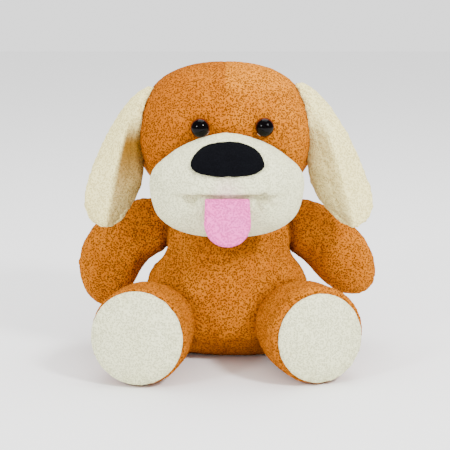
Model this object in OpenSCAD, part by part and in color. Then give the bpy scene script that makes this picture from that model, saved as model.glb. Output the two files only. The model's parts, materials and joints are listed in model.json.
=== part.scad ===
// Sitting plush dog: fabric covers sewn from panels, stuffed with fibre, with
// safety eyes, flopping ears, a hanging tongue and soft limb joints.
// Millimetres, +Z up, the dog faces -Y. Its own right side is at -X.
// The origin is the middle of the flat seat that it sits on.

/* [Fabric] */
// Thickness of the plush fabric of every cover
cover_t = 2; // [1.5:0.1:3]
// Play between pieces that move against each other
joint_gap = 0.8; // [0.5:0.1:1.2]

/* [Head] */
// Half width of the head
head_rx = 76; // [72:1:80]
// Half depth of the head
head_ry = 66; // [63:1:68]
// Half height of the head
head_rz = 66; // [64:1:67]
// Height of the middle of the head
head_z = 190; // [189:1:194]

/* [Muzzle] */
// Half width of the muzzle
muzzle_rx = 66; // [62:1:68]
// Half depth of the muzzle
muzzle_ry = 43; // [40:1:45]
// Half height of the muzzle
muzzle_rz = 44; // [41:1:45]
// How far the upper lip overhangs the chin
lip_overhang = 5; // [4.5:0.5:6]

/* [Eyes] */
// Diameter of the plastic eyes
eye_d = 16; // [12:1:18]
// Distance between the middles of the eyes
eye_spacing = 52; // [48:1:58]

/* [Torso] */
// Half width of the belly
torso_rx = 70; // [68:1:72]
// Half depth of the belly
torso_ry = 60; // [58:1:62]

/* [Limbs] */
// Radius of the arms
arm_r = 28; // [26:1:29]
// Radius of the feet
sole_r = 41; // [38:1:42]
// Length of the right leg, from hip to sole
leg_right_len = 70; // [66:1:74]
// Length of the left leg, from hip to sole
leg_left_len = 66; // [62:1:70]

/* [Hidden] */

RIGHT = -1;
LEFT = 1;
layer_gap = 0.15;                 // between a cover and what fills it
inner = cover_t + layer_gap;      // how far a filling lies under its cover
big = 400;                        // half of a cutting block
smooth = 64;

orange = [0.80, 0.45, 0.13];
cream = [0.93, 0.90, 0.78];
white_fibre = [0.95, 0.95, 0.93];
pink = [0.97, 0.66, 0.80];
black_felt = [0.05, 0.05, 0.08];
eye_brown = [0.12, 0.05, 0.03];

head_c = [-4, -6, head_z];
muzzle_c = [-2, -68, 158];
face_x = 2;                       // the eyes sit a little to the dog's left
mouth_z = 157;                    // the line of the mouth
torso_y = 2;

neck_c = [0, 0, 123];             // the head turns and nods about this point
neck_r = 17;

arm_right_root = [-50, 16, 105];
arm_left_root = [50, 16, 106];
arm_hollow_r = 28;
leg_right_root = [-62, -44, 34.5];
leg_left_root = [52, -44, 34.5];
leg_root_r = 32.5;
leg_hollow_r = 36.5;
tail_root = [0, 57, 34];
tail_hollow_r = 17;

// ---------------------------------------------------------------- helpers

module ellipsoid(radii, turn = [0, 0, 0]) {
    scale(radii) rotate(turn) sphere(r = 1, $fn = smooth);
}

// Keeps what lies on one side of a plane through p. n points at the kept side.
module keep_side(p, n) {
    length = norm(n);
    intersection() {
        children();
        translate(p)
            rotate([0, acos(n[2] / length), atan2(n[1], n[0])])
                translate([-big, -big, 0])
                    cube([2 * big, 2 * big, big]);
    }
}

function bezier(p, t) =
    pow(1 - t, 3) * p[0] + 3 * pow(1 - t, 2) * t * p[1]
    + 3 * (1 - t) * t * t * p[2] + pow(t, 3) * p[3];

function unit(v) = v / norm(v);

// How full a stuffed tube is along its length: round ends, an even middle.
function fullness(s, bluntness) = sqrt(1 - pow(abs(2 * s - 1), bluntness));

// One point of a stuffed form: at s along its path, and at angle around it.
// The width runs along the first direction of wide at the start and its second
// at the end, as far as the path allows.
function form_point(path, width, depth, wide, bluntness, s, angle, inset) =
    let (
        trim = inset / norm(path[3] - path[0]),
        here = trim + (1 - 2 * trim) * s,
        along = unit(bezier(path, here + 0.01) - bezier(path, here - 0.01)),
        aim = wide[0] + (wide[1] - wide[0]) * here,
        across = unit(aim - (aim * along) * along),
        up = cross(along, across),
        full = fullness(s, bluntness),
        w = (width[0] + (width[1] - width[0]) * here - inset) * full,
        d = (depth[0] + (depth[1] - depth[0]) * here - inset) * full
    )
    bezier(path, here) + w * cos(angle) * across + d * sin(angle) * up;

// The rings stand closer together near the round ends.
function station(k, rings) = (1 - cos(180 * k / (rings + 1))) / 2;

// A closed stuffed form, shrunk by inset on every side.
module stuffed_form(form, inset = 0, sides = 20, rings = 12) {
    path = form[0];
    last = rings * sides;
    points = [for (k = [1:rings], i = [0:sides - 1])
        form_point(path, form[1], form[2], form[3], form[4],
                   station(k, rings), 360 * i / sides, inset)];
    trim = inset / norm(path[3] - path[0]);
    poles = [bezier(path, trim), bezier(path, 1 - trim)];
    start_cap = [for (i = [0:sides - 1]) [last, i, (i + 1) % sides]];
    end_cap = [for (i = [0:sides - 1])
        let (ring = (rings - 1) * sides)
        [last + 1, ring + (i + 1) % sides, ring + i]];
    walls = [for (k = [0:rings - 2], i = [0:sides - 1])
        let (a = k * sides, b = a + sides, j = (i + 1) % sides)
        each [[a + i, b + i, a + j], [a + j, b + i, b + j]]];
    polyhedron(points = concat(points, poles), faces = concat(start_cap, walls, end_cap));
}

// One of the two fabric panels of a stuffed form, from the seam at angle seam
// round to the seam opposite.
module form_panel(form, seam, steps = 10, rings = 12) {
    path = form[0];
    edge = 0.6;
    row = steps + 1;
    rim = 2 * row;
    ends = rings * rim;
    points = [for (k = [1:rings], inset = [0, cover_t], j = [0:steps])
        form_point(path, form[1], form[2], form[3], form[4], station(k, rings),
                   seam + edge + (180 - 2 * edge) * j / steps, inset)];
    trim = cover_t / norm(path[3] - path[0]);
    poles = [bezier(path, 0), bezier(path, trim), bezier(path, 1), bezier(path, 1 - trim)];
    walls = [for (k = [0:rings - 2], j = [0:steps - 1])
        let (o = k * rim + j, n = o + rim, u = o + row, v = n + row)
        each [[o, n, o + 1], [o + 1, n, n + 1], [u, u + 1, v], [u + 1, v + 1, v]]];
    seams = [for (k = [0:rings - 2])
        let (o = k * rim, n = o + rim, u = o + row, v = n + row)
        each [[n, o, u], [n, u, v],
              [o + steps, n + steps, v + steps], [o + steps, v + steps, u + steps]]];
    m = (rings - 1) * rim;
    fans = [for (j = [0:steps - 1])
        each [[ends, j, j + 1], [ends + 1, row + j + 1, row + j],
              [ends + 2, m + j + 1, m + j], [ends + 3, m + row + j, m + row + j + 1]]];
    corners = [
        [0, ends, ends + 1], [0, ends + 1, row],
        [ends, steps, row + steps], [ends, row + steps, ends + 1],
        [ends + 2, m, m + row], [ends + 2, m + row, ends + 3],
        [m + steps, ends + 2, ends + 3], [m + steps, ends + 3, m + row + steps]];
    polyhedron(points = concat(points, poles), faces = concat(walls, seams, fans, corners));
}

// ---------------------------------------------------------------- outer forms

module head_form(grow = 0) {
    translate(head_c)
        ellipsoid([head_rx + grow, head_ry + grow, head_rz + grow]);
}

module muzzle_upper_form(grow = 0, turn = [0, 0, 0]) {
    translate(muzzle_c)
        ellipsoid([muzzle_rx + grow, muzzle_ry + grow, muzzle_rz + grow], turn);
}

module muzzle_lower_form(grow = 0, turn = [0, 0, 0]) {
    translate(muzzle_c + [0, lip_overhang, 0])
        ellipsoid([muzzle_rx - 1 + grow, muzzle_ry + grow, muzzle_rz + 0.5 + grow], turn);
}

module neck_ball(grow = 0) {
    translate(neck_c) sphere(r = neck_r + grow, $fn = smooth);
}

// Each stuffed form: its path, widths, depths, width directions and bluntness.
arm_right_form = [
    [[-31, 16, 107], [-76, 17, 116], [-120, 17, 98], [-106, 14, 34]],
    [arm_r - 7, arm_r - 6], [arm_r - 2, arm_r + 6], [[0, 1, 0], [0, 1, 0]], 3.2];
arm_left_form = [
    [[31, 16, 110], [72, 16, 118], [102, 17, 86], [120, 14, 46]],
    [arm_r - 7, arm_r - 6], [arm_r - 2, arm_r + 1], [[0, 1, 0], [0, 1, 0]], 3.2];
ear_right_form = [
    [[-64.5, -6, 236], [-94.5, -10, 222], [-96.5, -32, 167], [-112, -46, 118]],
    [13, 31], [5.5, 8.5], [[-0.2, 0.98, 0], [-1, 0.1, 0]], 3.4];
ear_left_form = [
    [[57.5, -6, 239], [81.5, -10, 231], [99.5, -32, 167], [107, -46, 118]],
    [11, 31], [5.5, 8.5], [[0.45, 0.89, 0], [1, 0.1, 0]], 3.4];
tail_shape = [
    [[0, 48, 32], [0, 66, 36], [0, 84, 44], [0, 88, 68]],
    [12, 9.5], [12, 9.5], [[1, 0, 0], [1, 0, 0]], 3];

function leg_len(side) = side == RIGHT ? leg_right_len : leg_left_len;

// A leg lies along +Z here, with its hip at the origin.
module leg_revolved(length, grow = 0) {
    tip_r = sole_r + grow;
    round_r = 6;
    back = [for (a = [-90:10:0])
        [(leg_root_r + grow) * cos(a), (leg_root_r + grow) * sin(a)]];
    edge = [for (a = [0:15:90])
        [tip_r - round_r + round_r * cos(a), length + grow - round_r + round_r * sin(a)]];
    rotate_extrude($fn = smooth)
        polygon(concat(back, edge, [[0, length + grow]]));
}

// Puts a shape that lies along +Z at a hip, pointing forwards and outwards.
module at_hip(side) {
    translate(side == RIGHT ? leg_right_root : leg_left_root)
        rotate([0, 0, side * (side == RIGHT ? 12 : 20)])
            rotate([84.5, 0, 0])
                children();
}

// ---------------------------------------------------------------- torso

// Radius and height of the torso's outline, from the seat to the neck.
torso_outline = [
    [0, -5], [40, -5], [43, 0], [53, 3], [61, 9], [67, 19], [torso_rx - 0.5, 31], [torso_rx, 44],
    [68.5, 57], [64.5, 70], [58.5, 82], [52.5, 92], [46, 101], [38, 109], [28, 115.5],
    [16, 120], [0, 120.5]];

// Cut off level for the seat.
module torso_form(grow = 0) {
    keep_side([0, 0, -grow], [0, 0, 1])
        translate([0, torso_y, 0])
            scale([1, torso_ry / torso_rx, 1])
                rotate_extrude($fn = smooth)
                    intersection() {
                        offset(delta = grow) polygon(torso_outline);
                        translate([0, -big]) square([big, 2 * big]);
                    }
}

// The round hollows in which the neck, limbs and tail sit and swing.
module torso_hollows() {
    neck_ball(joint_gap);
    translate(arm_right_root) sphere(r = arm_hollow_r, $fn = smooth);
    translate(arm_left_root) sphere(r = arm_hollow_r, $fn = smooth);
    translate(leg_right_root) sphere(r = leg_hollow_r, $fn = smooth);
    translate(leg_left_root) sphere(r = leg_hollow_r, $fn = smooth);
    translate(tail_root) sphere(r = tail_hollow_r, $fn = smooth);
}

module torso_cover() {
    difference() {
        torso_form();
        torso_form(-cover_t);
        torso_hollows();
    }
}

module torso_front_cover() {
    color(orange) keep_side([0, torso_y, 0], [0, -1, 0]) torso_cover();
}

module torso_back_cover() {
    color(orange) keep_side([0, torso_y, 0], [0, 1, 0]) torso_cover();
}

module torso_filling() {
    color(white_fibre)
        difference() {
            torso_form(-inner - 0.5);
            torso_hollows();
        }
}

// ---------------------------------------------------------------- neck and head

module neck_filling() {
    color(white_fibre) neck_ball();
}

// Puts a shape that points along +Z at an eye, square to the head.
module at_eye(side) {
    x = side * eye_spacing / 2 + face_x - head_c[0];
    z = 17.5;
    y = -head_ry * sqrt(1 - pow(x / head_rx, 2) - pow(z / head_rz, 2));
    n = [x / pow(head_rx, 2), y / pow(head_ry, 2), z / pow(head_rz, 2)];
    translate(head_c + [x, y, z])
        rotate([0, acos(n[2] / norm(n)), atan2(n[1], n[0])])
            children();
}

shank_r = 2.2;
shank_len = 13;
washer_r = 7;
washer_t = 1.6;

// The muzzle's poles point forwards here, clear of the seam and of the opening's edge.
module head_cover() {
    difference() {
        head_form();
        head_form(-cover_t);
        muzzle_upper_form(layer_gap, [90, 0, 0]);
        muzzle_lower_form(layer_gap, [90, 0, 0]);
        neck_ball(joint_gap);
        for (side = [RIGHT, LEFT])
            at_eye(side)
                translate([0, 0, -10]) cylinder(r = shank_r + 0.1, h = 20, $fn = smooth);
    }
}

module head_right_cover() {
    color(orange) keep_side(head_c, [-1, 0, 0]) head_cover();
}

module head_left_cover() {
    color(orange) keep_side(head_c, [1, 0, 0]) head_cover();
}

module head_filling() {
    color(white_fibre)
        difference() {
            union() {
                head_form(-inner);
                keep_side([0, 0, mouth_z], [0, 0, 1]) muzzle_upper_form(-inner);
                keep_side([0, 0, mouth_z], [0, 0, -1]) muzzle_lower_form(-inner);
            }
            neck_ball(joint_gap + inner);
            for (side = [RIGHT, LEFT])
                at_eye(side) {
                    translate([0, 0, -shank_len - 1])
                        cylinder(r = shank_r + 0.3, h = shank_len + 1, $fn = smooth);
                    translate([0, 0, -cover_t - washer_t - 1.2])
                        cylinder(r = washer_r + 0.4, h = washer_t + 1.4, $fn = smooth);
                }
        }
}

// ---------------------------------------------------------------- face

module muzzle_upper_cover() {
    color(cream)
        difference() {
            keep_side([0, 0, mouth_z], [0, 0, 1]) muzzle_upper_form();
            muzzle_upper_form(-cover_t);
            head_form(layer_gap);
        }
}

module muzzle_lower_cover() {
    color(cream)
        keep_side([0, 0, mouth_z], [0, 0, -1])
            difference() {
                muzzle_lower_form();
                muzzle_lower_form(-cover_t);
                head_form(layer_gap);
            }
}

nose_x = -2;
nose_half_w = 30;
nose_mid_z = 182;
nose_top = 16.5;
nose_drop = 8;

function nose_outline() =
    [for (a = [0:10:350])
        let (
            c = cos(a),
            s = sin(a),
            power = s > 0 ? 1.15 : 0.75,
            rise = s > 0 ? nose_top : nose_drop
        )
        [nose_x + nose_half_w * sign(c) * pow(abs(c), 0.9),
         nose_mid_z + rise * sign(s) * pow(abs(s), power)]];

module nose_patch() {
    color(black_felt)
        intersection() {
            difference() {
                muzzle_upper_form(layer_gap + 1.6);
                muzzle_upper_form(layer_gap);
            }
            translate([0, -78, 0])
                rotate([90, 0, 0])
                    linear_extrude(60)
                        polygon(nose_outline());
        }
}

module eye(side) {
    color(eye_brown)
        at_eye(side) {
            intersection() {
                translate([0, 0, 1.4]) sphere(d = eye_d, $fn = smooth);
                translate([0, 0, 0.5]) cylinder(d = 2 * eye_d, h = eye_d, $fn = smooth);
            }
            translate([0, 0, -shank_len]) cylinder(r = shank_r, h = shank_len + 2, $fn = smooth);
        }
}

module eye_washer(side) {
    color(white_fibre)
        at_eye(side)
            translate([0, 0, -cover_t - washer_t - 0.8])
                difference() {
                    cylinder(r = washer_r, h = washer_t, $fn = smooth);
                    translate([0, 0, -1]) cylinder(r = shank_r + 0.05, h = washer_t + 2, $fn = smooth);
                }
}

tongue_x = -2;
tongue_w = 38;
tongue_t = 4;
tongue_y = -108.5;
tongue_top = 156.5;
tongue_tip = 116;

// The tongue's outline, square at the mouth and round at its tip.
module tongue_outline() {
    r = tongue_w / 2;
    tip = [for (a = [180:15:360]) [tongue_x + r * cos(a), tongue_tip + r + r * sin(a)]];
    root_z = tongue_top - tongue_t / 2;
    polygon(concat(tip, [[tongue_x + r - 1, root_z], [tongue_x + 1 - r, root_z]]));
}

module tongue_panel(from_y, thick) {
    translate([0, from_y + thick, 0])
        rotate([90, 0, 0])
            linear_extrude(thick) tongue_outline();
}

// The rolled edge that is sewn into the mouth and that the tongue swings on.
module tongue_root() {
    translate([tongue_x - tongue_w / 2 + 1, tongue_y, tongue_top - tongue_t / 2])
        rotate([0, 90, 0])
            cylinder(r = tongue_t / 2, h = tongue_w - 2, $fn = smooth);
}

module tongue_front() {
    color(pink) {
        tongue_panel(tongue_y - tongue_t / 2, tongue_t / 2);
        keep_side([0, tongue_y, 0], [0, -1, 0])
            tongue_root();
    }
}

module tongue_back() {
    color(pink) {
        tongue_panel(tongue_y, tongue_t / 2);
        keep_side([0, tongue_y, 0], [0, 1, 0])
            tongue_root();
    }
}

// ---------------------------------------------------------------- ears

module ear_panel(form, seam) {
    color(cream) form_panel(form, seam);
}

// ---------------------------------------------------------------- arms

module arm_panel(form, seam) {
    color(orange) form_panel(form, seam);
}

module limb_filling(form) {
    color(white_fibre) stuffed_form(form, cover_t + 0.4);
}

// ---------------------------------------------------------------- legs

sole_bulge = 7;                   // how far the middle of a sole stands out

module leg_cover(side) {
    color(orange)
        at_hip(side)
            difference() {
                leg_revolved(leg_len(side));
                leg_revolved(leg_len(side), -cover_t);
                translate([0, 0, leg_len(side) - 10])
                    cylinder(r = sole_r - 8, h = 20, $fn = smooth);
            }
}

// A round panel that bulges between its sewn edge and its middle.
module sole_lens(length, grow = 0) {
    r = sole_r - 3 + grow;
    ball = (r * r + sole_bulge * sole_bulge) / (2 * sole_bulge);
    intersection() {
        translate([0, 0, length + sole_bulge - ball]) sphere(r = ball, $fn = 96);
        translate([0, 0, length]) cylinder(r = r, h = sole_bulge * 2, $fn = smooth);
    }
}

module sole(side) {
    color(cream)
        at_hip(side)
            difference() {
                sole_lens(leg_len(side));
                sole_lens(leg_len(side) - cover_t, -1);
            }
}

module leg_filling(side) {
    color(white_fibre)
        at_hip(side)
            leg_revolved(leg_len(side), -inner);
}

// ---------------------------------------------------------------- tail

module tail_panel(seam) {
    color(orange) form_panel(tail_shape, seam, 8, 8);
}

module tail_filling() {
    color(white_fibre) stuffed_form(tail_shape, cover_t + 0.4, 16, 8);
}

// ---------------------------------------------------------------- nodes

torso_front_cover();
torso_back_cover();
torso_filling();
neck_filling();
head_right_cover();
head_left_cover();
head_filling();
muzzle_upper_cover();
muzzle_lower_cover();
nose_patch();
eye(RIGHT);  // eye_right
eye(LEFT);  // eye_left
eye_washer(RIGHT);  // eye_washer_right
eye_washer(LEFT);  // eye_washer_left
tongue_front();
tongue_back();
ear_panel(ear_right_form, 180);  // ear_right_outer
ear_panel(ear_right_form, 0);  // ear_right_inner
limb_filling(ear_right_form);  // ear_right_wadding
ear_panel(ear_left_form, 0);  // ear_left_outer
ear_panel(ear_left_form, 180);  // ear_left_inner
limb_filling(ear_left_form);  // ear_left_wadding
arm_panel(arm_right_form, 90);  // arm_right_front_cover
arm_panel(arm_right_form, 270);  // arm_right_back_cover
limb_filling(arm_right_form);  // arm_right_filling
arm_panel(arm_left_form, 90);  // arm_left_front_cover
arm_panel(arm_left_form, 270);  // arm_left_back_cover
limb_filling(arm_left_form);  // arm_left_filling
leg_cover(RIGHT);  // leg_right_cover
sole(RIGHT);  // sole_right
leg_filling(RIGHT);  // leg_right_filling
leg_cover(LEFT);  // leg_left_cover
sole(LEFT);  // sole_left
leg_filling(LEFT);  // leg_left_filling
tail_panel(90);  // tail_right_cover
tail_panel(270);  // tail_left_cover
tail_filling();
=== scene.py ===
"""A sitting plush dog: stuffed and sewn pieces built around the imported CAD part."""

import json
import math

import bpy
import numpy as np
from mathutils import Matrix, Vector
from mathutils.bvhtree import BVHTree

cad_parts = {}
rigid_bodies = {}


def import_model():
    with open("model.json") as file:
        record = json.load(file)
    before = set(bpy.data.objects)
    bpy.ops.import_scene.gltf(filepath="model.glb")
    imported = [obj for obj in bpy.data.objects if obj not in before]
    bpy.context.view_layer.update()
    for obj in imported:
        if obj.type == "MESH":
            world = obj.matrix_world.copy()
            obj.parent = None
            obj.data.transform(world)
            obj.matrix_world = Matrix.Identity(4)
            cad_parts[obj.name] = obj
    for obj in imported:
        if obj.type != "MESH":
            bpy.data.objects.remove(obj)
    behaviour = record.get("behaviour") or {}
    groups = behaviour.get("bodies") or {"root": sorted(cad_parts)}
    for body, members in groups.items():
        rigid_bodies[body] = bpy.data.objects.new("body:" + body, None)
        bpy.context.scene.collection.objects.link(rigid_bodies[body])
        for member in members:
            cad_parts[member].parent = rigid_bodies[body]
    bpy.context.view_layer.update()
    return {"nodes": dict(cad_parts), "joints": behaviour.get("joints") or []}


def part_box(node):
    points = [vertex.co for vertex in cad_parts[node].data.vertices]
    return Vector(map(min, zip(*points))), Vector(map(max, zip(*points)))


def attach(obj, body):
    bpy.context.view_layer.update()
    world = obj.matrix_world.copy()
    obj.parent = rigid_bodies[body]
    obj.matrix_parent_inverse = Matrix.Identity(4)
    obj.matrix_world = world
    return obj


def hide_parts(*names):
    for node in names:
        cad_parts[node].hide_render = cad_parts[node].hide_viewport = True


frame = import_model()

MM = 0.001


# ------------------------------------------------------------------ mesh helpers


def deselect_all():
    """Clears the selection, since an operator acts on all that is selected."""
    if bpy.context.object and bpy.context.object.mode != "OBJECT":
        bpy.ops.object.mode_set(mode="OBJECT")
    bpy.ops.object.select_all(action="DESELECT")


def make_active(piece):
    deselect_all()
    piece.select_set(True)
    bpy.context.view_layer.objects.active = piece


def settle(piece):
    """Puts the piece's place into its mesh, and its object at the origin."""
    make_active(piece)
    bpy.ops.object.transform_apply(location=True, rotation=True, scale=True)


def points(piece):
    co = np.empty(len(piece.data.vertices) * 3, np.float32)
    piece.data.vertices.foreach_get("co", co)
    return co.reshape(-1, 3).astype(float)


def set_points(piece, co):
    piece.data.vertices.foreach_set("co", co.astype(np.float32).ravel())
    piece.data.update()


def normals(piece):
    out = np.empty(len(piece.data.vertices) * 3, np.float32)
    piece.data.vertex_normals.foreach_get("vector", out)
    return out.reshape(-1, 3).astype(float)


def push(piece, amount):
    """Moves each point out along its normal by its amount, in millimetres."""
    set_points(piece, points(piece) + normals(piece) * amount[:, None] * MM)


def apply_modifier(piece, kind, **settings):
    """Adds a modifier with these settings and applies it."""
    make_active(piece)
    modifier = piece.modifiers.new(kind.lower(), kind)
    for key, value in settings.items():
        setattr(modifier, key, value)
    bpy.ops.object.modifier_apply(modifier=modifier.name)


def refine(piece, levels):
    apply_modifier(piece, "SUBSURF", levels=levels, render_levels=levels)


def relax(piece, times):
    apply_modifier(piece, "SMOOTH", iterations=times, factor=0.5)


def keep_outer_skin(piece):
    """Deletes any skin that is not joined to the outermost point."""
    make_active(piece)
    bpy.ops.object.mode_set(mode="EDIT")
    bpy.ops.mesh.select_all(action="DESELECT")
    bpy.ops.object.mode_set(mode="OBJECT")
    piece.data.vertices[int(points(piece)[:, 0].argmax())].select = True
    bpy.ops.object.mode_set(mode="EDIT")
    bpy.ops.mesh.select_linked()
    bpy.ops.mesh.select_all(action="INVERT")
    bpy.ops.mesh.delete(type="VERT")
    bpy.ops.object.mode_set(mode="OBJECT")


def voxels(piece, size):
    """Remakes the piece as one even closed skin, with its joined parts grown together."""
    apply_modifier(piece, "REMESH", mode="VOXEL", voxel_size=size * MM)
    keep_outer_skin(piece)


def ball(name, centre, radii, steps=4):
    """An even ball, made at its size and place. Lengths are in metres."""
    deselect_all()
    bpy.ops.mesh.primitive_ico_sphere_add(subdivisions=steps, radius=1, location=centre)
    piece = bpy.context.object
    piece.scale = radii
    piece.name = name
    settle(piece)
    return piece


def join(parts):
    """Joins the parts into the first of them."""
    deselect_all()
    for part in parts:
        part.select_set(True)
    bpy.context.view_layer.objects.active = parts[0]
    bpy.ops.object.join()
    return parts[0]


def copy_of(*names):
    """One new piece from copies of CAD nodes, with their loose triangles merged."""
    copies = []
    for name in names:
        piece = bpy.data.objects.new("copy_" + name, frame["nodes"][name].data.copy())
        bpy.context.scene.collection.objects.link(piece)
        copies.append(piece)
    piece = join(copies)
    bpy.ops.object.mode_set(mode="EDIT")
    bpy.ops.mesh.select_all(action="SELECT")
    bpy.ops.mesh.remove_doubles(threshold=0.01 * MM)
    bpy.ops.object.mode_set(mode="OBJECT")
    piece.data.materials.clear()
    return piece


# ------------------------------------------------------------------ sewing and stuffing


def bell(distance, width):
    """1 at distance 0, falling away to 0 in about twice the width."""
    return np.exp(-((distance / width) ** 2))


def ramp(value, low, high):
    """Smoothly from 0 at low to 1 at high."""
    t = np.clip((value - low) / (high - low), 0, 1)
    return t * t * (3 - 2 * t)


def stuff(piece, cap, pressure=4, frames=20):
    """Fills a fabric skin: cloth under pressure from inside, applied to the mesh.

    Each point's move is held to cap, in millimetres. The even part of the swelling is
    then taken back, so that the piece keeps its size.
    """
    before, outward = points(piece), normals(piece)
    make_active(piece)
    cloth = piece.modifiers.new("stuffing", "CLOTH")
    fabric = cloth.settings
    fabric.quality = 5
    fabric.mass = 0.3
    fabric.tension_stiffness = 15
    fabric.compression_stiffness = 15
    fabric.shear_stiffness = 5
    fabric.bending_stiffness = 0.5
    fabric.use_pressure = True
    fabric.uniform_pressure_force = pressure
    fabric.effector_weights.gravity = 0
    cloth.point_cache.frame_start = 1
    cloth.point_cache.frame_end = frames
    for step in range(1, frames + 1):
        bpy.context.scene.frame_set(step)
    bpy.ops.object.modifier_apply(modifier=cloth.name)
    bpy.context.scene.frame_set(1)
    move = points(piece) - before
    length = np.linalg.norm(move, axis=1, keepdims=True)
    limit = cap * MM
    move *= np.tanh(length / limit) * limit / np.maximum(length, 1e-9)
    swell = (move * outward).sum(1).mean()
    set_points(piece, before + move - outward * swell)


def reach_to(piece, other, reach=12.0):
    """How far each point lies outside other, in millimetres, up to reach. Less than 0 is inside."""
    tree = BVHTree.FromObject(other, bpy.context.evaluated_depsgraph_get())
    co = points(piece)
    around = points(other)
    low, high = around.min(0) - reach * MM, around.max(0) + reach * MM
    out = np.full(len(co), reach)
    for i in np.nonzero(((co > low) & (co < high)).all(1))[0]:
        here = Vector(co[i])
        place, normal, _, distance = tree.find_nearest(here, reach * MM)
        if place is not None:
            out[i] = math.copysign(distance / MM, (here - place).dot(normal))
    return out


def note_painted_shade(piece, amount):
    """Keeps how deep in a seam or fold each point lies, for the painted shade of the pile there."""
    layer = piece.data.attributes.get("fold_shade")
    if layer is None:
        layer = piece.data.attributes.new("fold_shade", "FLOAT", "POINT")
    values = np.empty(len(piece.data.vertices), np.float32)
    layer.data.foreach_get("value", values)
    layer.data.foreach_set("value", np.maximum(values, amount).astype(np.float32))


def tuck(piece, other, depth, width, dark=0.7):
    """Draws the fabric in where it meets another piece, as a sewn seam does, with painted shade of
    strength dark in the hollow.
    """
    near = bell(np.clip(reach_to(piece, other), 0, None), width)
    push(piece, -depth * near)
    note_painted_shade(piece, dark * near)


def seam(piece, first, second, depth=0.9, width=1.5, dark=0.45):
    """Sews the line where two panels of the CAD part meet, with painted shade along it."""
    one = np.abs(reach_to(piece, frame["nodes"][first]))
    two = np.abs(reach_to(piece, frame["nodes"][second]))
    line = bell(one - two, width) * (np.minimum(one, two) < 9)
    pulled = bell(one - two, 6) * (np.minimum(one, two) < 9)
    along = points(piece).sum(1) / MM
    gather = 0.22 * np.sin(along * 0.52) + 0.16 * np.sin(along * 0.83 + 1)
    push(piece, -depth * line * (1 + 0.25 * np.sin(along * 1.3)) + gather * pulled)
    note_painted_shade(piece, dark * line)


def folds(piece, start, lines, depth, width):
    """Puckers on a piece's front that run from a point, given as x and z, with painted shade in
    them.

    Each is a direction and a length, in millimetres.
    """
    co = (points(piece)[:, [0, 2]] - np.array(start)) / MM
    forward = ramp(-normals(piece)[:, 1], 0.1, 0.5)
    total = np.zeros(len(co))
    for direction, length in lines:
        way = np.array(direction) / np.linalg.norm(direction)
        along = co @ way
        across = np.abs(co @ np.array([-way[1], way[0]]) + 1.2 * np.sin(along / 5))
        spread = width * (0.7 + 0.6 * np.clip(along / length, 0, 1))
        total += bell(across, spread) * ramp(along, -3, 3) * (1 - ramp(along, 0.3 * length, length))
    total = np.minimum(total, 1.2) * forward
    push(piece, -depth * total)
    note_painted_shade(piece, 0.5 * total)


def waves(piece, size, height, seed):
    """The soft unevenness of stuffing under fabric. Lengths are in millimetres."""
    co = points(piece) / (size * MM)
    total = np.zeros(len(co))
    for k in range(5):
        way = np.array([math.sin(seed + 2.1 * k), math.cos(1.3 * seed + 3.7 * k),
                        math.sin(0.7 * seed + 5.3 * k + 1)])
        total += np.sin(co @ way * 2 + seed * 1.7 + k * 2.4)
    push(piece, total / 5 * height)


def pile(piece, size, height):
    """Raises the short pile in uneven tufts of this size, in millimetres."""
    for share, part in ((1.0, 0.62), (0.55, 0.38)):
        tufts = bpy.data.textures.new("tufts", "CLOUDS")
        tufts.noise_scale = size * share * MM
        tufts.noise_depth = 1
        apply_modifier(piece, "DISPLACE", texture=tufts, texture_coords="LOCAL",
                       strength=height * part * MM, mid_level=0.5)


def dress(piece, name, body, material, replaced):
    """Gives a finished piece its name, finish and body, and hides the CAD nodes it stands for."""
    piece.name = name
    piece.data.name = name
    piece.data.materials.clear()
    piece.data.materials.append(material)
    make_active(piece)
    bpy.ops.object.shade_smooth()
    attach(piece, body)
    if replaced:
        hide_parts(*replaced)


# ------------------------------------------------------------------ shader helpers


class Value:
    """A number that changes over the surface: Python maths on it adds Math nodes."""

    def __init__(self, paint, socket):
        self.paint = paint
        self.socket = socket

    def _math(self, operation, *others):
        values = {0: self.socket}
        for i, other in enumerate(others, start=1):
            values[i] = other
        return self.paint.value("ShaderNodeMath", {"operation": operation}, values)

    def __add__(self, other):
        return self._math("ADD", other)

    __radd__ = __add__

    def __mul__(self, other):
        return self._math("MULTIPLY", other)

    __rmul__ = __mul__

    def __sub__(self, other):
        return self._math("SUBTRACT", other)

    def __rsub__(self, other):
        return (self * -1) + other

    def least(self, other):
        return self._math("MINIMUM", other)

    def wave(self, length):
        """Swings between 0 and 1 over this length, in millimetres."""
        return (self * (2 * math.pi / (length * MM)))._math("SINE") * 0.5 + 0.5

    def clamp(self):
        node = self.paint.node("ShaderNodeClamp", {}, {0: self.socket})
        return Value(self.paint, node.outputs[0])

    def between(self, low, high):
        """Smoothly from 0 at low to 1 at high."""
        node = self.paint.node(
            "ShaderNodeMapRange",
            {"interpolation_type": "SMOOTHSTEP"},
            {"Value": self.socket, "From Min": low, "From Max": high},
        )
        return Value(self.paint, node.outputs["Result"])


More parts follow.
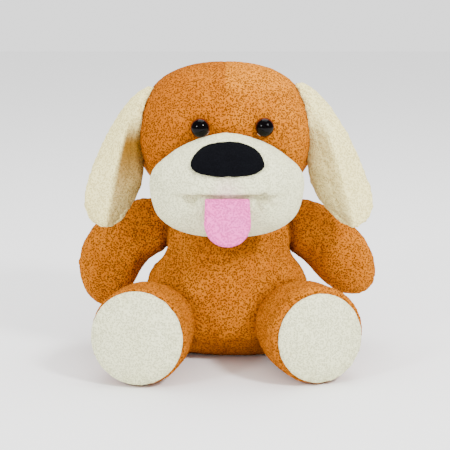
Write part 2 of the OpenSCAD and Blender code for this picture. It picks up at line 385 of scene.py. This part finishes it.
class Paint:
    """One material and the nodes that paint it."""

    def __init__(self, name):
        self.material = bpy.data.materials.new(name)
        self.material.use_nodes = True
        self.tree = self.material.node_tree
        self.shader = self.tree.nodes["Principled BSDF"]
        self.place = self.node("ShaderNodeTexCoord", {}, {}).outputs["Object"]

    def node(self, kind, settings, values):
        node = self.tree.nodes.new(kind)
        for key, value in settings.items():
            setattr(node, key, value)
        for key, value in values.items():
            self.feed(node.inputs[key], value)
        return node

    def feed(self, socket, value):
        if isinstance(value, Value):
            value = value.socket
        if isinstance(value, bpy.types.NodeSocket):
            self.tree.links.new(value, socket)
        elif socket.type == "RGBA" and len(value) == 3:
            socket.default_value = (*value, 1)
        else:
            socket.default_value = value

    def value(self, kind, settings, values):
        """The number that a new node of this kind gives."""
        return Value(self, self.node(kind, settings, values).outputs[0])

    def noise(self, size, detail=2.0, rough=0.5):
        """Uneven patches of this size, in millimetres, from 0 to 1."""
        node = self.node("ShaderNodeTexNoise", {}, {
            "Vector": self.place, "Scale": 1 / (size * MM),
            "Detail": detail, "Roughness": rough})
        return Value(self, node.outputs[0])

    def cells(self, size):
        """The distance to the nearest of many points, this far apart in millimetres."""
        node = self.node("ShaderNodeTexVoronoi", {}, {
            "Vector": self.place, "Scale": 1 / (size * MM)})
        return Value(self, node.outputs["Distance"])

    def mix(self, share, first, second):
        """Between two colours."""
        node = self.node("ShaderNodeMix", {"data_type": "RGBA"}, {})
        color_inputs = [s for s in node.inputs if s.type == "RGBA"]
        self.feed(node.inputs["Factor"], share)
        self.feed(color_inputs[0], first)
        self.feed(color_inputs[1], second)
        return [s for s in node.outputs if s.type == "RGBA"][0]

    def axis(self, index):
        """The place on the surface along X, Y or Z, in metres."""
        node = self.node("ShaderNodeSeparateXYZ", {}, {0: self.place})
        return Value(self, node.outputs[index])

    def distance_to(self, point):
        """The distance from a point, in metres."""
        node = self.node("ShaderNodeVectorMath", {"operation": "DISTANCE"},
                         {0: self.place, 1: point})
        return Value(self, node.outputs["Value"])

    def attribute(self, name):
        """A number that the piece's points carry."""
        node = self.node("ShaderNodeAttribute", {"attribute_name": name}, {})
        return Value(self, node.outputs["Fac"])

    def set(self, **sockets):
        for key, value in sockets.items():
            self.feed(self.shader.inputs[key.replace("_", " ")], value)

    def bump(self, height, depth):
        """Relief of this depth in millimetres where height is 1."""
        node = self.node("ShaderNodeBump", {}, {"Height": height, "Distance": depth * MM})
        self.feed(self.shader.inputs["Normal"], node.outputs[0])


def srgb(text):
    """A colour as written #rrggbb, made linear."""
    values = [int(text[i:i + 2], 16) / 255 for i in (1, 3, 5)]
    return tuple(v / 12.92 if v <= 0.04045 else ((v + 0.055) / 1.055) ** 2.4 for v in values)


# ------------------------------------------------------------------ materials


def plush(name, light, middle, dark, shade_in_folds, grain, contrast, relief, sheen, tone=None,
          stain=None):
    """Short pile: tufts with small dark gaps between them, brushed patches, and painted shade in
    seams and folds.

    grain is the width of a tuft and relief its height, both in millimetres. tone makes some
    places lighter: painted light on the head, knit ribs on the cream. The fold colour is
    painted shade, and stain is a place, how far its colour reaches, and the colour.
    """
    paint = Paint(name)
    fine = paint.noise(grain * 0.8, detail=3, rough=0.7)
    gaps = 1 - (paint.cells(grain) + fine * 0.35).between(0.42, 0.72)
    brushed = paint.noise(26, detail=3, rough=0.6).between(0.3, 0.7)
    mottle = paint.noise(grain * 3.5, detail=2).between(0.3, 0.7)
    share = brushed * 0.35 + mottle * 0.15 + 0.1
    if tone is not None:
        share = share + tone(paint)
    body = paint.mix(share.clamp(), middle, light)
    color = paint.mix(gaps * contrast, body, dark)
    # painted shade: seams, creases, puckers and the ears' inner halves darkened toward the fold
    # colour
    color = paint.mix(paint.attribute("fold_shade") * 0.75, color, shade_in_folds)
    if stain is not None:
        place, reach, stained = stain
        near = 1 - paint.distance_to(place).between(0, reach)
        color = paint.mix(near * 0.6, color, stained)
    paint.set(Base_Color=color, Roughness=0.95, Sheen_Weight=sheen,
              Sheen_Roughness=0.5, Sheen_Tint=light, Specular_IOR_Level=0.05)
    paint.bump(1 - gaps + fine * 0.3, relief)
    return paint.material


def head_light_and_nap(paint):
    """Painted light: the upper head is lighter on the dog's left, where the key light falls, and
    the nap adds to it beside the seam on top.
    """
    x, z = paint.axis(0), paint.axis(2)
    high = z.between(150 * MM, 200 * MM)
    left = (x.between(-70 * MM, 70 * MM) - 0.65) * high * 0.7
    crown = (x.between(-5 * MM, -2 * MM) * z.between(226 * MM, 250 * MM)) * 0.8
    return left + crown


def orange_plush():
    # the tone on the head is painted light from above and from the dog's left, partly nap
    return plush("orange_plush", light=srgb("#cc7a10"), middle=srgb("#a95a01"),
                 dark=srgb("#4e2200"), shade_in_folds=srgb("#6a2f00"), grain=1.45, contrast=0.75,
                 relief=0.7, sheen=0.02, tone=head_light_and_nap)


def cream_plush():
    """Smooth cream pile with the faint ribs of its knit, tinted pink above the tongue."""
    def ribs(paint):
        return paint.axis(0).wave(1.5) * 0.25 - 0.1

    low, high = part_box("tongue_front")
    lip = Vector(((low.x + high.x) / 2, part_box("muzzle_upper_cover")[0].y, high.z + 4 * MM))
    return plush("cream_plush", light=srgb("#f1f1ca"), middle=srgb("#e4e5b8"),
                 dark=srgb("#9c9a70"), shade_in_folds=srgb("#a09268"), grain=1.4, contrast=0.32,
                 relief=0.5, sheen=0.04, tone=ribs, stain=(lip, 19 * MM, srgb("#ecc6c4")))


def ear_plush():
    return plush("cream_ear_plush", light=srgb("#fbf1b0"), middle=srgb("#f2e59c"),
                 dark=srgb("#c0a660"), shade_in_folds=srgb("#7d5512"), grain=1.6, contrast=0.4,
                 relief=0.5, sheen=0.05)


def pink_plush():
    return plush("pink_plush", light=srgb("#ff78ca"), middle=srgb("#ff64bb"),
                 dark=srgb("#d6549a"), shade_in_folds=srgb("#c9508c"), grain=1.5, contrast=0.4,
                 relief=0.7, sheen=0.05)


def black_felt():
    paint = Paint("black_felt")
    fibres = paint.noise(0.9, detail=4, rough=0.7)
    patches = paint.noise(9, detail=2)
    color = paint.mix((fibres.between(0.35, 0.75) * 0.7 + patches * 0.2).clamp(),
                      srgb("#030305"), srgb("#0e0f14"))
    paint.set(Base_Color=color, Roughness=0.95, Sheen_Weight=0.02,
              Sheen_Tint=srgb("#8890a8"), Specular_IOR_Level=0.05)
    paint.bump(fibres, 0.35)
    return paint.material


def eye_plastic(tips):
    """Dark glossy plastic with a brown edge. tips are the foremost points of the eyes."""
    paint = Paint("eye_plastic")
    away = [paint.distance_to(tip) for tip in tips]
    near = away[0].least(away[1])
    starts, ends = (7.9 * MM, 9.0 * MM), (10.5 * MM, 12 * MM)
    rim = near.between(*starts) - near.between(*ends)
    color = paint.mix(rim, srgb("#050304"), srgb("#4c1a0c"))
    paint.set(Base_Color=color, Roughness=0.04, IOR=1.2)
    return paint.material


def washer_plastic():
    paint = Paint("washer_plastic")
    color = paint.mix(paint.noise(2.5), srgb("#e8e6e0"), srgb("#f4f2ee"))
    paint.set(Base_Color=color, Roughness=0.5)
    return paint.material


# ------------------------------------------------------------------ places


def span(*names):
    """The lowest and highest corner of these CAD nodes together."""
    lows, highs = zip(*(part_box(name) for name in names))
    return np.min([list(v) for v in lows], 0), np.max([list(v) for v in highs], 0)


joints = {joint["name"]: joint for joint in frame["joints"]}
SIDES = ("right", "left")


def joint_place(name):
    return Vector(joints[name]["pos_m"])


# ------------------------------------------------------------------ head


CROWN = 0.4  # how much squarer than a ball the top of the head is
CHEEK = 0.05  # how much the cheeks slope in
CHEEK_WIDTH = 0.028  # how much the head widens at the height of the eyes


def squared(d, power, share):
    """How much to scale X and Z of points on a unit ball for a squarer front view.

    A power of 2 keeps the ball, and share says how much of the change each point gets.
    """
    flat = np.hypot(d[:, 0], d[:, 2]) + 1e-9
    squarer = flat / (np.abs(d[:, 0]) ** power + np.abs(d[:, 2]) ** power + 1e-9) ** (1 / power)
    return 1 + (squarer - 1) * share


def make_head():
    """Both halves of the head's cover as one stuffed skin."""
    low, high = span("head_right_cover", "head_left_cover")
    half = (high - low) / 2
    centre = np.array([(low[0] + high[0]) / 2, (low[1] + high[1]) / 2, high[2] - half[1]])
    radii = np.array([half[0], half[1], half[1]])
    head = ball("head", centre, radii, 5)
    d = (points(head) - centre) / radii
    # seen from the front the crown is squarer than a ball and the cheeks slope in
    power = 2 + CROWN * ramp(d[:, 2], -0.3, 0.35)
    grow = squared(d, power, (1 - d[:, 1] ** 2) ** 2)
    d[:, 0] *= grow * (1 - CHEEK * ramp(-d[:, 2], 0.1, 0.9))
    d[:, 0] *= 1 + CHEEK_WIDTH * bell(d[:, 2], 0.6)
    d[:, 2] *= grow
    set_points(head, d * radii + centre)
    stuff(head, 2)
    refine(head, 1)
    return head


CHIN = 0.6  # how much squarer than a ball the chin is
BRIDGE = 0.35  # how much narrower than a ball the top of the muzzle is
PARTING = 4.5  # depth of the mouth's crease in millimetres


def make_muzzle():
    """The muzzle's two covers, sewn together at the sides and parted at the mouth."""
    low, high = span("muzzle_upper_cover", "muzzle_lower_cover")
    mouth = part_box("muzzle_upper_cover")[0].z
    lip_back = (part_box("muzzle_lower_cover")[0].y - low[1]) / MM
    radii = np.array([(high[0] - low[0]) / 2 - 2 * MM, 43 * MM, 44 * MM])
    centre = np.array([(high[0] + low[0]) / 2 - 0.5 * MM, low[1] + radii[1],
                       high[2] - radii[2] + 3 * MM])
    muzzle = ball("muzzle", centre, radii, 5)
    d = (points(muzzle) - centre) / radii
    # seen from the front the chin is squarer than a ball and the top narrower
    power = 2 + CHIN * ramp(-d[:, 2], 0, 0.6) - BRIDGE * ramp(d[:, 2], 0.1, 0.6)
    d[:, [0, 2]] *= squared(d, power, 1 - np.clip(-d[:, 1], 0, 1) ** 2)[:, None]
    set_points(muzzle, d * radii + centre)
    stuff(muzzle, 2)
    refine(muzzle, 1)
    co = points(muzzle)
    x = (co[:, 0] - centre[0]) / MM
    line = mouth / MM + 0.6 - 2.2 * ramp(np.abs(x), 16, 40)
    below = co[:, 2] / MM - line
    middle = 1 - ramp(np.abs(x), 22, 44)
    front = ramp(-(co[:, 1] - centre[1]), 5 * MM, 20 * MM)
    co[:, 1] += lip_back * MM * (1 - ramp(below, -2.5, 0.5)) * middle * front
    set_points(muzzle, co)
    parted = bell(below, 2.0) * (1 - ramp(np.abs(x), 24, 42)) * front
    lips = (1.6 * bell(below - 8, 7) + 1.0 * bell(below + 9, 6)) * middle * front
    push(muzzle, lips - PARTING * parted)
    # painted shade in the mouth's crease
    note_painted_shade(muzzle, 1.3 * parted)
    folds(muzzle, (centre[0] + 25 * MM, mouth - 1.5 * MM),
          [((1, 0.04), 30), ((1, -0.42), 26), ((0.35, -1), 17), ((0.6, 0.5), 13)], 3.0, 2.4)
    folds(muzzle, (centre[0] - 25 * MM, mouth - 1.5 * MM),
          [((-1, 0.03), 22), ((-1, -0.6), 14), ((-0.3, -1), 12)], 2.0, 2.2)
    return muzzle


def face_outward(piece):
    """Turns every face of a closed or flat piece the same way."""
    make_active(piece)
    bpy.ops.object.mode_set(mode="EDIT")
    bpy.ops.mesh.select_all(action="SELECT")
    bpy.ops.mesh.normals_make_consistent(inside=False)
    bpy.ops.object.mode_set(mode="OBJECT")


NOSE_POINTS = 96
NOSE_RINGS = (0.96, 0.88, 0.76, 0.62, 0.46, 0.28, 0.1)  # sizes of the rings inside the edge
FELT = 2.2 * MM


def make_nose(muzzle):
    """A felt patch cut to shape and sewn onto the muzzle."""
    low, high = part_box("nose_patch")
    centre = (low + high) / 2
    half = (high.x - low.x) / 2 - 0.8 * MM
    widest = low.z + (high.z - low.z) * 0.33
    deselect_all()
    bpy.ops.mesh.primitive_circle_add(vertices=NOSE_POINTS, radius=half, fill_type="NGON",
                                      location=(centre.x, low.y - 25 * MM, widest),
                                      rotation=(math.pi / 2, 0, 0))
    nose = bpy.context.object
    settle(nose)
    co = points(nose)
    for i in range(len(co)):
        a = math.atan2(co[i, 2] - widest, co[i, 0] - centre.x)
        c, s = math.cos(a), math.sin(a)
        side = math.copysign(abs(c) ** 0.86, c)
        if s >= 0:
            up = (high.z - widest) * s ** 1.15
        else:
            notch = 0.9 * MM * math.exp(-((side / 0.05) ** 2))
            up = -(widest - low.z) * abs(s) ** 0.8 + notch
        rough = 0.25 * MM * math.sin(9 * a) * math.sin(17 * a + 1)
        co[i] = (centre.x + side * (half + rough), co[i, 1], widest + up + rough * s)
    set_points(nose, co)
    middle = Vector((centre.x, co[0, 1], centre.z))
    face_outward(nose)
    bpy.ops.object.mode_set(mode="EDIT")
    whole = 1.0
    for share in NOSE_RINGS:
        bpy.ops.mesh.inset(thickness=0)
        bpy.ops.transform.resize(value=(share / whole,) * 3, center_override=middle)
        whole = share
    bpy.ops.mesh.poke()
    bpy.ops.object.mode_set(mode="OBJECT")
    lay_on(nose, muzzle, 0.9)
    apply_modifier(nose, "SOLIDIFY", thickness=FELT, offset=0)
    face_outward(nose)
    refine(nose, 2)
    return nose


def lay_on(piece, other, lift):
    """Moves each point of a piece straight back until it lies on another."""
    tree = BVHTree.FromObject(other, bpy.context.evaluated_depsgraph_get())
    co = points(piece)
    for i, here in enumerate(co):
        place, normal, _, _ = tree.ray_cast(Vector(here), Vector((0, 1, 0)))
        co[i] = place + normal * lift * MM
    set_points(piece, co)


def make_tongue():
    """Two plush panels sewn back to back, softly curved and without stuffing."""
    tongue = copy_of("tongue_front", "tongue_back")
    voxels(tongue, 1.1)
    relax(tongue, 10)
    low, high = span("tongue_front", "tongue_back")
    co = points(tongue)
    down = (high[2] - co[:, 2]) / MM
    across = (co[:, 0] - (low[0] + high[0]) / 2) / MM
    co[:, 1] += (0.5 * np.sin(down / 6) + 2.0 * ramp(down, 12, 36)) * MM
    co[:, 1] += 0.7 * bell(across, 2.5) * (1 - ramp(down, 14, 26)) * MM
    co[:, 1] += 0.9 * ramp(np.abs(across), 9, 19) * MM
    set_points(tongue, co)
    return tongue


# ------------------------------------------------------------------ limbs


def make_form(names, size=4, times=6, cap=2):
    """One stuffed skin round the covers and the filling of a limb."""
    form = copy_of(*names)
    voxels(form, size)
    relax(form, times)
    stuff(form, cap)
    refine(form, 2)
    return form


# The balls that fill the torso's hollows: how far in from the joint, as a share of the way
# to the torso's middle, and their radius in millimetres.
PLUGS = {"arm_right_raise": (0.32, 27), "arm_left_raise": (0.32, 27),
         "leg_right_raise": (0.22, 33), "leg_left_raise": (0.22, 33), "tail_wag": (0.28, 18)}
SEAT = 0.3 * MM  # height of the fabric under the seat
SEAT_SOFT = 2 * MM  # how far above it the fabric starts to flatten


def make_torso():
    """The torso's covers and filling as one skin, flattened where the dog sits on it."""
    low, high = span("torso_front_cover", "torso_back_cover")
    middle = Vector(((low[0] + high[0]) / 2, (low[1] + high[1]) / 2, 0))
    parts = [copy_of("torso_front_cover", "torso_back_cover", "torso_filling")]
    for name, (inset, size) in PLUGS.items():
        place = joint_place(name)
        inward = Vector((middle.x, middle.y, place.z)) - place
        parts.append(ball("plug", place + inward * inset, (size * MM,) * 3, 3))
    collar = joint_place("neck_turn") - Vector((0, 0, 16 * MM))
    parts.append(ball("plug", collar, (24 * MM, 24 * MM, 22 * MM), 3))
    torso = join(parts)
    voxels(torso, 4)
    relax(torso, 10)
    stuff(torso, 2)
    refine(torso, 2)
    waves(torso, 22, 0.7, 1)
    co = points(torso)
    # the hips bulge, on the dog's right most of all, and the belly is round underneath
    hips = bell(co[:, 2] / MM - 66, 26)
    co[:, 0] += 2.5 * hips * ramp(co[:, 0], 20 * MM, 60 * MM) * MM
    co[:, 0] -= 7.5 * hips * ramp(-co[:, 0], 20 * MM, 60 * MM) * MM
    under = ramp(middle.y - co[:, 1], 10 * MM, 60 * MM) * ramp(-co[:, 2], -30 * MM, 0)
    co[:, 1] += 8 * under * MM
    co[:, 2] += 3 * under * MM
    pressed = SEAT + SEAT_SOFT * np.exp((co[:, 2] - SEAT - SEAT_SOFT) / SEAT_SOFT)
    co[:, 2] = np.where(co[:, 2] < SEAT + SEAT_SOFT, pressed, co[:, 2])
    set_points(torso, co)
    return torso


def leg_axis(side):
    """The hip, the direction in which the leg points, and its length to the sole."""
    hip = np.array(joints[f"leg_{side}_raise"]["pos_m"])
    sole = points(frame["nodes"]["sole_" + side])
    way = sole.mean(0) - hip
    way /= np.linalg.norm(way)
    return hip, way, ((sole - hip) @ way).min()


def round_axis(piece, side):
    """Each point's place along the leg and its distance from the leg's axis."""
    hip, way, length = leg_axis(side)
    out = points(piece) - hip
    along = out @ way
    return along - length, np.linalg.norm(out - along[:, None] * way, axis=1)


def make_leg(side):
    """A full thigh, whose end is pressed in where the sole is sewn on."""
    leg = make_form([f"leg_{side}_cover", f"leg_{side}_filling"], times=4)
    waves(leg, 18, 0.6, 2 if side == "right" else 3)
    hip, way, _ = leg_axis(side)
    along, away = round_axis(leg, side)
    out = points(leg) - hip
    out -= (out @ way)[:, None] * way
    thigh = bell(along / MM + 42, 24) * (0.4 + 0.6 * ramp(out[:, 2] / MM, -10, 25))
    outward = out / np.maximum(away, 1e-6)[:, None]
    set_points(leg, points(leg) + outward * thigh[:, None] * 5 * MM)
    most = (-2.5 + 3.2 * ramp(away / MM, 33, 39)) * MM
    back = np.clip(along - most, 0, None) * (1 - ramp(away / MM, 39, 43))
    set_points(leg, points(leg) - back[:, None] * way)
    return leg


def make_sole(side):
    """A round panel drawn over stuffing, puckered where its edge is gathered in."""
    hip, way, length = leg_axis(side)
    low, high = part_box("sole_" + side)
    larger, lower = (0.8, 0) if side == "right" else (-0.9, 1.5)
    radius = (high.z - low.z) / 2 + larger * MM
    shift = Vector((0, 0, -lower * MM))
    sole = ball("sole", (0, 0, 0), (radius, radius, 9 * MM), 5)
    co = points(sole)
    turn = Vector((0, 0, 1)).rotation_difference(Vector(way)).to_matrix()
    angle = np.arctan2(co[:, 1], co[:, 0])
    away = np.hypot(co[:, 0], co[:, 1]) / radius
    swing = 1 if side == "right" else -1
    puckers = (0.5 * np.sin(angle * 23 + 2 * np.sin(3 * angle))
               + 0.5 * np.sin(angle * 14 + 1)) * (0.35 + 0.65 * bell(angle - 0.2 - swing, 1.2))
    gathered = puckers * ramp(away, 0.55, 0.93)
    # painted shade in the hollows of the gathered puckers
    note_painted_shade(sole, 0.3 * np.clip(-gathered, 0, 1))
    co[:, 2] += gathered * 1.3 * MM
    x, y = co[:, 0] / MM, co[:, 1] / MM
    co[:, 2] += 0.45 * MM * (np.sin(x / 4.1 + 1) * np.sin(y / 5.3) * (1 - away))
    co[:, 2] -= 0.9 * MM * bell(x * 0.8 + 6 * swing - y * 0.3, 5) * (1 - away)
    set_points(sole, co @ np.array(turn).T + hip + way * (length - 1.6 * MM) + shift)
    refine(sole, 1)
    return sole


EAR_ROWS = 29  # level bands in which the ear's width is measured


def make_ear(side):
    """A padded lobe with a soft ridge down its front, whose inner half turns to the head."""
    ear = make_form([f"ear_{side}_outer", f"ear_{side}_inner", f"ear_{side}_wadding"],
                    size=3.5, times=3, cap=1.5)
    co = points(ear)
    way = -1 if side == "right" else 1
    x = co[:, 0] * way
    rows = np.linspace(co[:, 2].min(), co[:, 2].max(), EAR_ROWS + 1)
    row = np.clip(np.digitize(co[:, 2], rows) - 1, 0, EAR_ROWS - 1)
    heights = (rows[:-1] + rows[1:]) / 2
    bands = [row == k for k in range(EAR_ROWS)]
    inner = np.array([x[band].min() if band.any() else 0 for band in bands])
    outer = np.array([x[band].max() if band.any() else 0 for band in bands])
    depth = np.array([co[band, 1].mean() if band.any() else 0 for band in bands])
    smooth = np.ones(5) / 5
    inner, outer, depth = (np.convolve(np.pad(v, 2, mode="edge"), smooth, "valid")
                           for v in (inner, outer, depth))
    inner_here = np.interp(co[:, 2], heights, inner)
    outer_here = np.interp(co[:, 2], heights, outer)
    across = 2 * (x - inner_here) / np.maximum(outer_here - inner_here, 1e-6) - 1
    down = (co[:, 2].max() - co[:, 2]) / (co[:, 2].max() - co[:, 2].min())
    front = ramp(np.interp(co[:, 2], heights, depth) - co[:, 1], -3 * MM, 5 * MM)
    lower = ramp(down, 0.16, 0.4)
    slope = np.sqrt((across + 0.05) ** 2 + 0.006)
    snug = ramp(-across, -0.2, 1) * ramp(down, 0.15, 0.35)
    # the ear hangs close to the head
    if side == "right":
        co[:, 0] -= way * (2 + 4.5 * snug * (1 - ramp(down, 0.6, 0.95))) * MM
    else:
        co[:, 0] -= way * (3.5 * (1 - ramp(down, 0.55, 0.9))
                           + 7 * snug * (1 - ramp(down, 0.7, 1))) * MM
    fall = np.where(across < -0.05, 16, 4) * slope
    co[:, 1] += (fall - 2.0) * front * lower * MM
    co[:, 1] += 1.4 * np.sin(down * 9 + (0 if side == "right" else 1.5)) * lower * MM
    set_points(ear, co)
    # painted shade on the inner half that turns to the head, stronger on the dog's right ear
    turned = ramp(-across, -0.02, 0.22) * front * lower
    shaded = 1.33 if side == "right" else 0.7
    note_painted_shade(ear, shaded * turned * (0.6 + 0.4 * ramp(-down, -0.95, -0.4)))
    return ear


# ------------------------------------------------------------------ the dog, put together


def arm_nodes(side):
    return [f"arm_{side}_front_cover", f"arm_{side}_back_cover", f"arm_{side}_filling"]


head = make_head()
muzzle = make_muzzle()
torso = make_torso()
arms = {side: make_form(arm_nodes(side)) for side in SIDES}
legs = {side: make_leg(side) for side in SIDES}
soles = {side: make_sole(side) for side in SIDES}
ears = {side: make_ear(side) for side in SIDES}
tail = make_form(["tail_right_cover", "tail_left_cover", "tail_filling"], size=3.5)
tongue = make_tongue()
neck = ball("neck", joint_place("neck_turn"), (20 * MM,) * 3, 4)

# seams and tucks draw the fabric in and paint shade in the hollows
seam(head, "head_right_cover", "head_left_cover", depth=0.5, dark=0.12)
tuck(head, muzzle, 1.6, 4, dark=0.5)
tuck(muzzle, head, 1.6, 3.5, dark=0.35)
seam(torso, "torso_front_cover", "torso_back_cover")
tuck(torso, head, 1.5, 6)
tuck(torso, tail, 1.5, 3)
for side in SIDES:
    tuck(head, frame["nodes"]["eye_" + side], 1.3, 4, dark=0.25)
    tuck(head, ears[side], 1.2, 4, dark=0.4)
    waves(arms[side], 18, 0.7, 4 if side == "right" else 5)
    seam(arms[side], *arm_nodes(side)[:2])
    tuck(torso, arms[side], 2.2, 5)
    tuck(arms[side], torso, 2.2, 5)
    tuck(torso, legs[side], 2.2, 5)
    tuck(legs[side], torso, 2.2, 5)
    tuck(legs[side], soles[side], 0.8, 3, dark=0.4)
    seam(ears[side], f"ear_{side}_outer", f"ear_{side}_inner", depth=0.7, dark=0.15)

nose = make_nose(muzzle)
tuck(muzzle, nose, 0.6, 2, dark=0.25)

for piece in (head, torso, tail, neck, *arms.values(), *legs.values()):
    pile(piece, 2.0, 1.2)
for piece in (muzzle, *soles.values(), *ears.values()):
    pile(piece, 1.8, 0.7)
pile(tongue, 1.8, 1.1)
pile(nose, 1.2, 0.35)

orange, cream = orange_plush(), cream_plush()
ear_cream, pink = ear_plush(), pink_plush()
dress(head, "head_fabric", "head", orange,
      ["head_right_cover", "head_left_cover", "head_filling"])
dress(muzzle, "muzzle_fabric", "head", cream,
      ["muzzle_upper_cover", "muzzle_lower_cover"])
dress(nose, "nose_felt", "head", black_felt(), ["nose_patch"])
dress(tongue, "tongue_fabric", "tongue", pink, ["tongue_front", "tongue_back"])
dress(neck, "neck_fabric", "neck", orange, ["neck_filling"])
dress(torso, "torso_fabric", "torso", orange,
      ["torso_front_cover", "torso_back_cover", "torso_filling"])
dress(tail, "tail_fabric", "tail", orange,
      ["tail_right_cover", "tail_left_cover", "tail_filling"])
for side in SIDES:
    dress(arms[side], f"arm_{side}_fabric", f"arm_{side}", orange, arm_nodes(side))
    dress(legs[side], f"leg_{side}_fabric", f"leg_{side}", orange,
          [f"leg_{side}_cover", f"leg_{side}_filling"])
    dress(soles[side], f"sole_{side}_fabric", f"leg_{side}", cream, [f"sole_{side}"])
    dress(ears[side], f"ear_{side}_fabric", f"ear_{side}", ear_cream,
          [f"ear_{side}_outer", f"ear_{side}_inner", f"ear_{side}_wadding"])


def eye_tip(side):
    """The foremost point of the eye."""
    co = points(frame["nodes"]["eye_" + side])
    return Vector(co[co[:, 1].argmin()])


def finish_node(name, material):
    mesh = frame["nodes"][name].data
    mesh.materials.clear()
    mesh.materials.append(material)


dark_eye = eye_plastic([eye_tip(side) for side in SIDES])
washer = washer_plastic()
for side in SIDES:
    finish_node("eye_" + side, dark_eye)
    finish_node("eye_washer_" + side, washer)

# ------------------------------------------------------------------ stage


WORLD_LIGHT = 1.7
MIRRORED_LIGHT = 0.25
ELEVATION = 12  # of the camera, in degrees
DISTANCE = 1.25  # of the camera from the point it looks at, in metres


def make_stage():
    """A pale floor that runs out of view, and an even pale surrounding."""
    deselect_all()
    bpy.ops.mesh.primitive_plane_add(size=6, location=(0, 0, 0))
    floor = bpy.context.object
    floor.name = "floor"
    paint = Paint("floor_paint")
    paint.set(Base_Color=(0.92, 0.92, 0.92), Roughness=0.9, Specular_IOR_Level=0.1)
    floor.data.materials.append(paint.material)

    world = bpy.data.worlds.new("studio")
    bpy.context.scene.world = world
    world.use_nodes = True
    back = world.node_tree.nodes["Background"]
    back.inputs["Color"].default_value = (1, 1, 1, 1)
    # glossy pieces mirror a darker room than the one that lights the dog
    path = world.node_tree.nodes.new("ShaderNodeLightPath")
    dimmed = world.node_tree.nodes.new("ShaderNodeMapRange")
    dimmed.inputs["To Min"].default_value = WORLD_LIGHT
    dimmed.inputs["To Max"].default_value = MIRRORED_LIGHT
    world.node_tree.links.new(path.outputs["Is Glossy Ray"], dimmed.inputs["Value"])
    world.node_tree.links.new(dimmed.outputs["Result"], back.inputs["Strength"])


def add_softbox(name, place, aim, size, power):
    """A square light of this size in metres and power in watts, turned to a point."""
    light = bpy.data.lights.new(name, "AREA")
    light.size = size
    light.energy = power
    lamp = bpy.data.objects.new(name, light)
    bpy.context.scene.collection.objects.link(lamp)
    lamp.location = place
    lamp.rotation_euler = (Vector(aim) - Vector(place)).to_track_quat("-Z", "Y").to_euler()


def add_camera():
    tilt = math.radians(ELEVATION)
    aim = Vector((-0.004, 0, 0.112))
    camera = bpy.data.cameras.new("camera")
    camera.sensor_width = 36
    camera.lens = 113.6
    view = bpy.data.objects.new("camera", camera)
    bpy.context.scene.collection.objects.link(view)
    view.location = aim + Vector((0, -math.cos(tilt), math.sin(tilt))) * DISTANCE
    view.rotation_euler = (aim - view.location).to_track_quat("-Z", "Y").to_euler()
    bpy.context.scene.camera = view


make_stage()
add_softbox("key", (0.85, -0.95, 1.1), (0, 0, 0.12), 0.24, 28)
add_softbox("fill", (-0.9, -1.0, 0.75), (0, 0, 0.12), 0.24, 11)
add_softbox("top", (0.1, 0.3, 1.4), (0, 0, 0.1), 1.0, 14)
add_camera()
